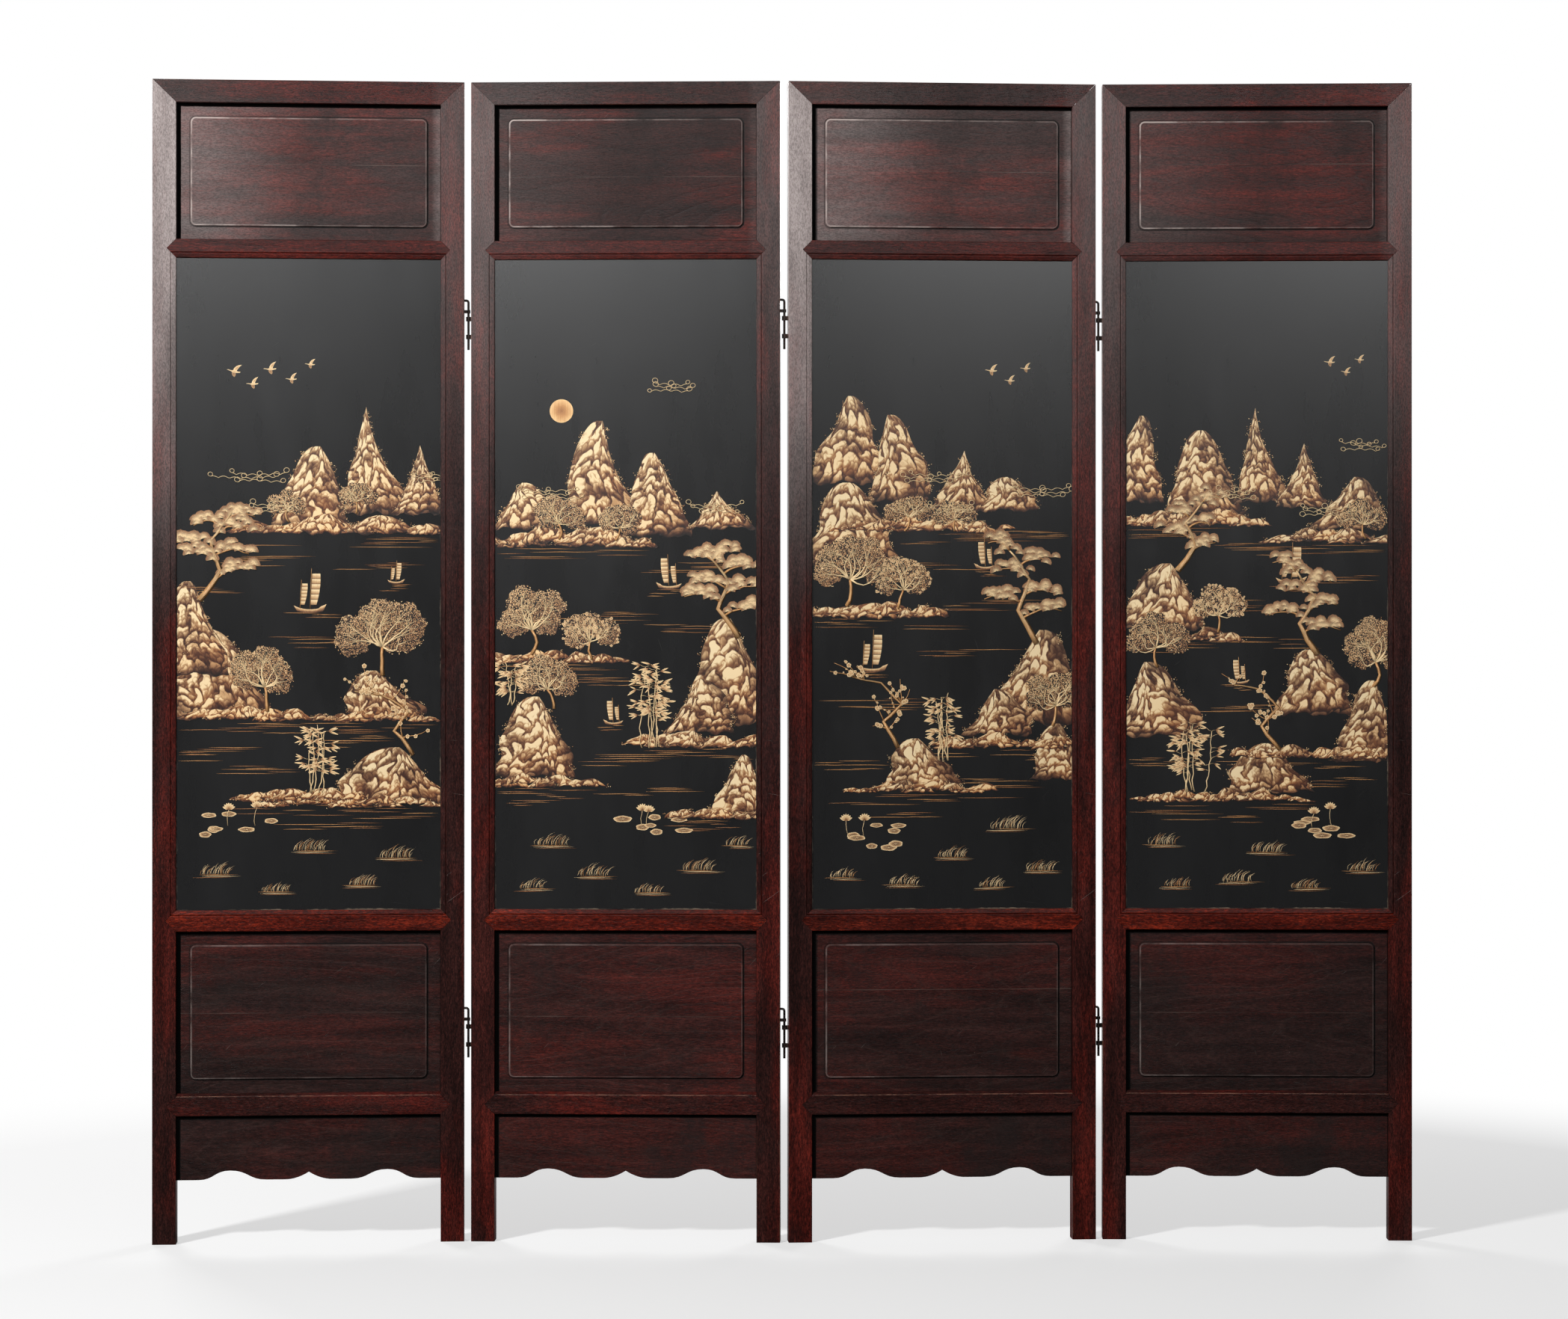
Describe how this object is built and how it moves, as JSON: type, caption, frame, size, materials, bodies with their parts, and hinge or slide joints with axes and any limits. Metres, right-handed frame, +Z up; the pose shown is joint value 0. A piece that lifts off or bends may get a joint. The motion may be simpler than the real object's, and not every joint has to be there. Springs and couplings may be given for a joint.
{
  "type": "folding screen",
  "caption": "Free-standing folding screen of framed lacquered leaves with wooden panels and scalloped aprons, joined by lift-off iron pin hinges.",
  "frame": {"origin": "on the floor, under the middle of the standing screen", "axes": "+Z up, +X along the row to the right as seen from the front, and the painted fronts face -Y"},
  "size_m": [2.0362, 0.0562, 1.875],
  "materials": {
    "frame_wood": "dark red-brown hardwood, rubbed and worn to a low sheen",
    "panel_wood": "dark brown hardwood with raised grain, low sheen",
    "black_lacquer": "polished black lacquer over a wooden board",
    "back_wood": "plain stained softwood, matt",
    "iron": "forged iron, dark with a brown rust bloom",
    "gilding": "worn gilt and brown painted decoration on the lacquer"
  },
  "bodies": {
    "leaf_1": {"leaf_1_stile_left": "frame_wood", "leaf_1_stile_right": "frame_wood", "leaf_1_top_rail": "frame_wood", "leaf_1_upper_rail": "frame_wood", "leaf_1_middle_rail": "frame_wood", "leaf_1_bottom_rail": "frame_wood", "leaf_1_top_panel": "panel_wood", "leaf_1_lower_panel": "panel_wood", "leaf_1_lacquer_board": "black_lacquer", "leaf_1_lower_batten": "back_wood", "leaf_1_upper_batten": "back_wood", "leaf_1_apron": "panel_wood", "leaf_1_upper_hinge_pin": "iron", "leaf_1_lower_hinge_pin": "iron"},
    "leaf_2": {"leaf_2_stile_left": "frame_wood", "leaf_2_stile_right": "frame_wood", "leaf_2_top_rail": "frame_wood", "leaf_2_upper_rail": "frame_wood", "leaf_2_middle_rail": "frame_wood", "leaf_2_bottom_rail": "frame_wood", "leaf_2_top_panel": "panel_wood", "leaf_2_lower_panel": "panel_wood", "leaf_2_lacquer_board": "black_lacquer", "leaf_2_lower_batten": "back_wood", "leaf_2_upper_batten": "back_wood", "leaf_2_apron": "panel_wood", "leaf_2_upper_hinge_pin": "iron", "leaf_2_lower_hinge_pin": "iron", "leaf_2_upper_hinge_eyes": "iron", "leaf_2_lower_hinge_eyes": "iron"},
    "leaf_3": {"leaf_3_stile_left": "frame_wood", "leaf_3_stile_right": "frame_wood", "leaf_3_top_rail": "frame_wood", "leaf_3_upper_rail": "frame_wood", "leaf_3_middle_rail": "frame_wood", "leaf_3_bottom_rail": "frame_wood", "leaf_3_top_panel": "panel_wood", "leaf_3_lower_panel": "panel_wood", "leaf_3_lacquer_board": "black_lacquer", "leaf_3_lower_batten": "back_wood", "leaf_3_upper_batten": "back_wood", "leaf_3_apron": "panel_wood", "leaf_3_upper_hinge_pin": "iron", "leaf_3_lower_hinge_pin": "iron", "leaf_3_upper_hinge_eyes": "iron", "leaf_3_lower_hinge_eyes": "iron"},
    "leaf_4": {"leaf_4_stile_left": "frame_wood", "leaf_4_stile_right": "frame_wood", "leaf_4_top_rail": "frame_wood", "leaf_4_upper_rail": "frame_wood", "leaf_4_middle_rail": "frame_wood", "leaf_4_bottom_rail": "frame_wood", "leaf_4_top_panel": "panel_wood", "leaf_4_lower_panel": "panel_wood", "leaf_4_lacquer_board": "black_lacquer", "leaf_4_lower_batten": "back_wood", "leaf_4_upper_batten": "back_wood", "leaf_4_apron": "panel_wood", "leaf_4_upper_hinge_eyes": "iron", "leaf_4_lower_hinge_eyes": "iron"}
  },
  "joints": [
    {"name": "hinge_1", "type": "hinge", "parent": "leaf_1", "child": "leaf_2", "pos_m": [-0.51155, 0.01341, 0], "axis": [0, 0, 1], "range_deg": [-37, 49]},
    {"name": "hinge_2", "type": "hinge", "parent": "leaf_2", "child": "leaf_3", "pos_m": [0.00025, -0.01341, 0], "axis": [0, 0, 1], "range_deg": [-49, 37]},
    {"name": "hinge_3", "type": "hinge", "parent": "leaf_3", "child": "leaf_4", "pos_m": [0.51205, 0.01341, 0], "axis": [0, 0, 1], "range_deg": [-37, 49]}
  ]
}
